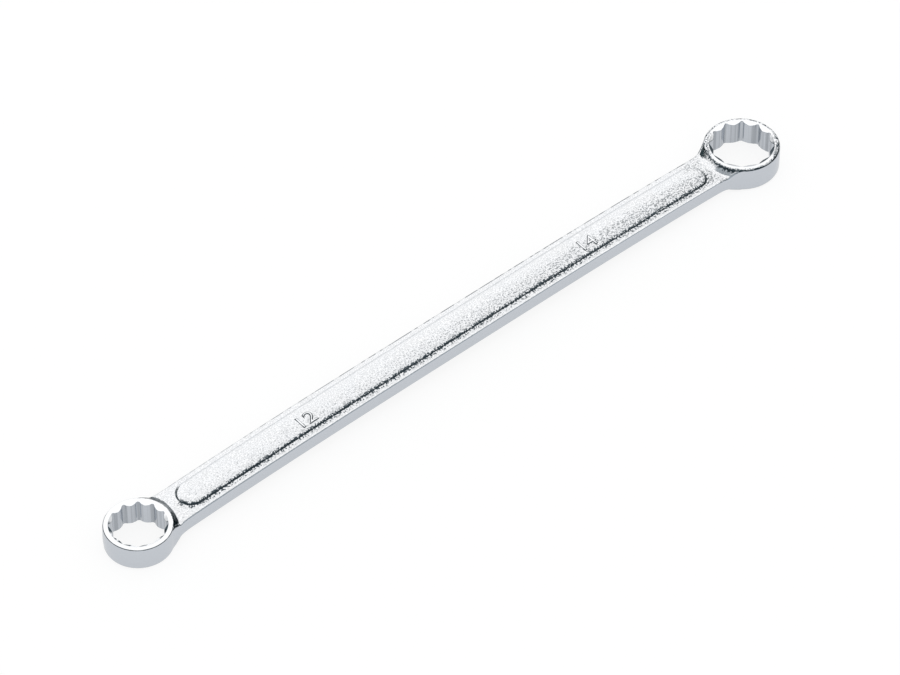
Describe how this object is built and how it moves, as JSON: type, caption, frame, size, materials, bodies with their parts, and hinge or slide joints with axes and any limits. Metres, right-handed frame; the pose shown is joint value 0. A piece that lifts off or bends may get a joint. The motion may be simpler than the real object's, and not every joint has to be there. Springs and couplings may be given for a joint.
{
  "type": "ring spanner",
  "caption": "Chrome-plated ring spanner: a slim, gently arched shank with a raised panel on each face and a twelve-point ring head at each end, for turning hex nuts and bolts.",
  "frame": {"origin": "middle of the overall length and width, on the plane that the undersides of both rings lie in", "axes": "+X along the shank from the 12 mm ring to the 14 mm ring, +Z out of the face that carries the size figures, parallel to both bores, +Y towards the tops of the figures"},
  "size_m": [0.2116, 0.0194, 0.0074],
  "materials": {
    "bright_chrome": "ground and chrome plated, bright, with fine worn speckle near the rims",
    "satin_chrome": "as-forged, blasted and chrome plated: satin with a fine orange-peel grain"
  },
  "bodies": {
    "root": {"ring_head_12": "bright_chrome", "shank": "satin_chrome", "ring_head_14": "bright_chrome"}
  },
  "joints": []
}
